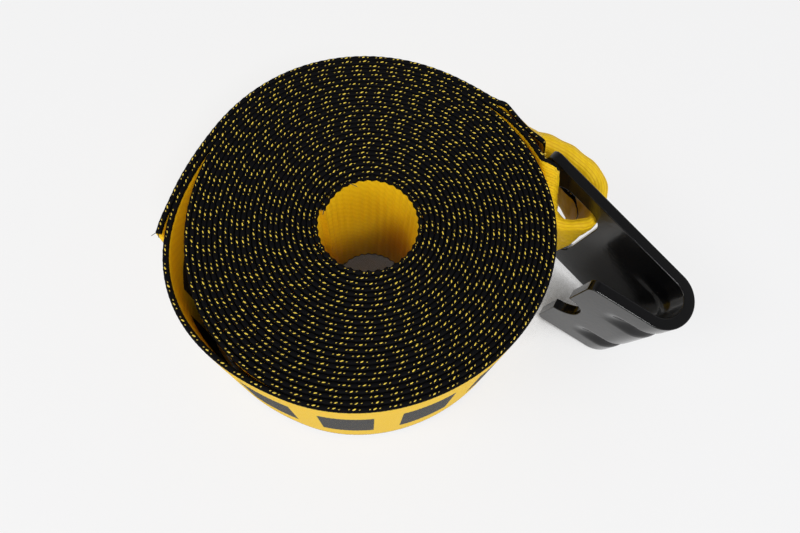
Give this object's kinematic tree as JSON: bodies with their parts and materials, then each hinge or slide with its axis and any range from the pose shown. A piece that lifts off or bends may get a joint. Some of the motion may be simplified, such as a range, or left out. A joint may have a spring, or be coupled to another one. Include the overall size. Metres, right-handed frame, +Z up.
{
  "type": "winch strap",
  "caption": "Flat webbing cargo strap wound into a roll, with a folded flat steel hook held in the sewn eye at its outer end.",
  "frame": {"origin": "centre of the bounding box on the floor that the roll stands on", "axes": "+Z up along the roll's axis, +X from the roll towards the hook, +Y away from the viewer of the picture"},
  "size_m": [0.245, 0.1696, 0.1016],
  "materials": {
    "webbing": "woven polyester, yellow with black selvages",
    "hook_steel": "gloss black"
  },
  "bodies": {
    "strap": {"webbing_strap": "webbing"},
    "hook": {"flat_hook": "hook_steel"}
  },
  "joints": [
    {"name": "hook_swing", "type": "hinge", "parent": "strap", "child": "hook", "pos_m": [0.05032, 0.05104, 0.04983], "axis": [0.095, -0.0763, 0.9925], "range_deg": [-10, 40]}
  ]
}
